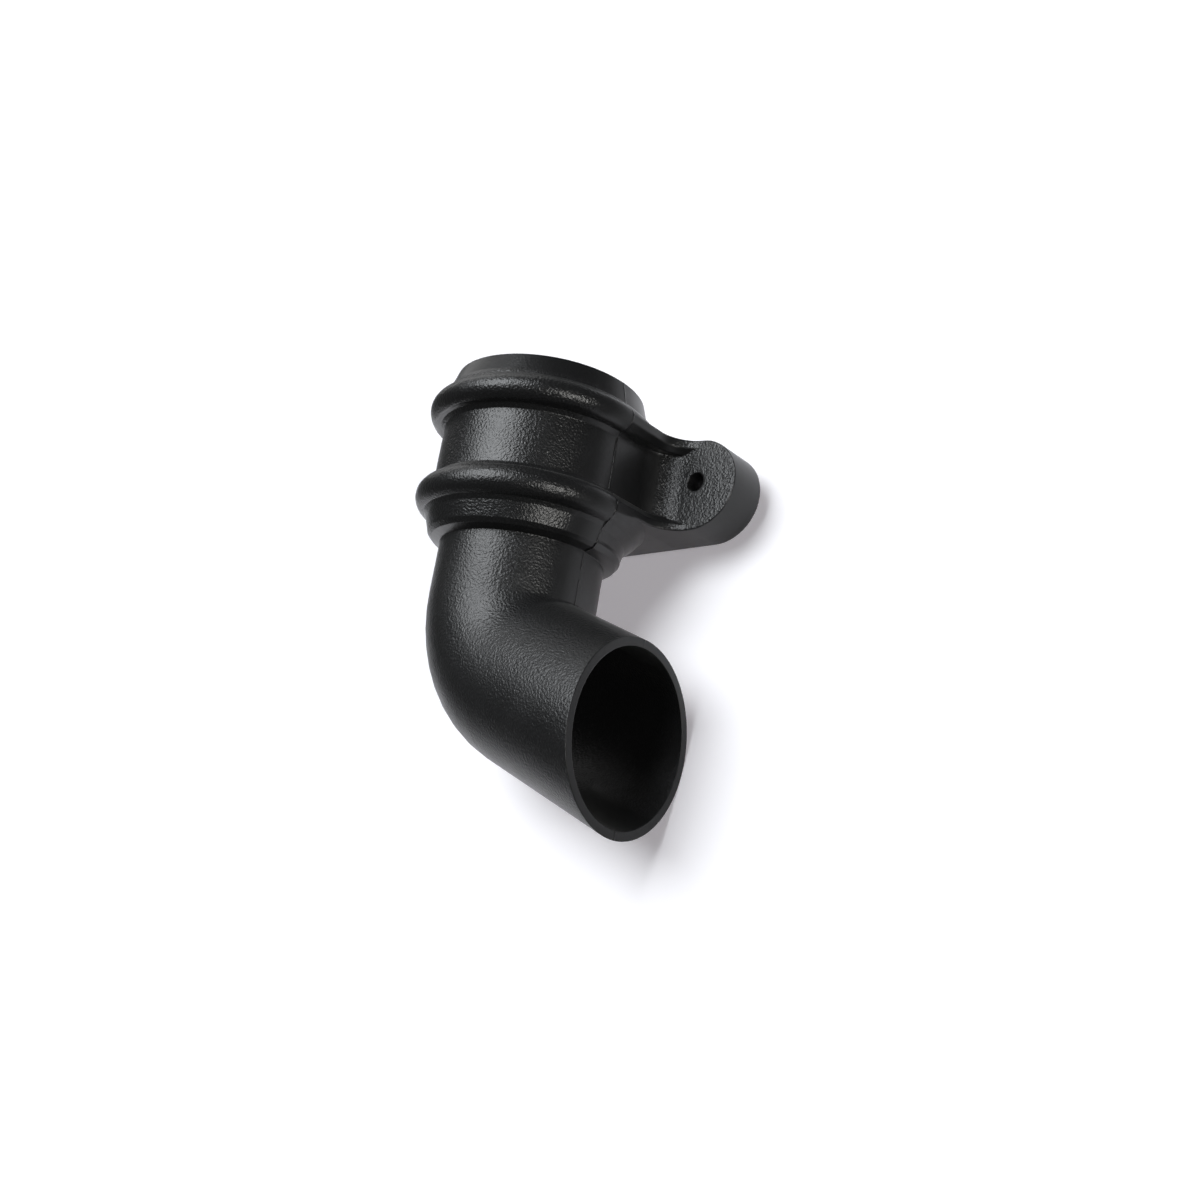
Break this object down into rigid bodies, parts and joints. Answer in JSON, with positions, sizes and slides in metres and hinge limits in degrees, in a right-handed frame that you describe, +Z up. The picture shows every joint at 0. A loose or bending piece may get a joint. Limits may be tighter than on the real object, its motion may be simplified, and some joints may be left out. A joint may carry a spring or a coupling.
{
  "type": "downpipe shoe",
  "caption": "Moulded rainwater downpipe shoe: beaded round socket with wall lugs, tight bend and open outlet that throws water clear of the wall foot.",
  "frame": {"origin": "on the socket's axis, at the stop where the downpipe's end rests", "axes": "+Z up the downpipe, +X the way the outlet points, +Y into the wall"},
  "size_m": [0.158, 0.0973, 0.181],
  "materials": {
    "black_moulding": "black moulded plastic with a pebbled cast grain on the front"
  },
  "bodies": {
    "root": {"downpipe_shoe": "black_moulding"}
  },
  "joints": []
}
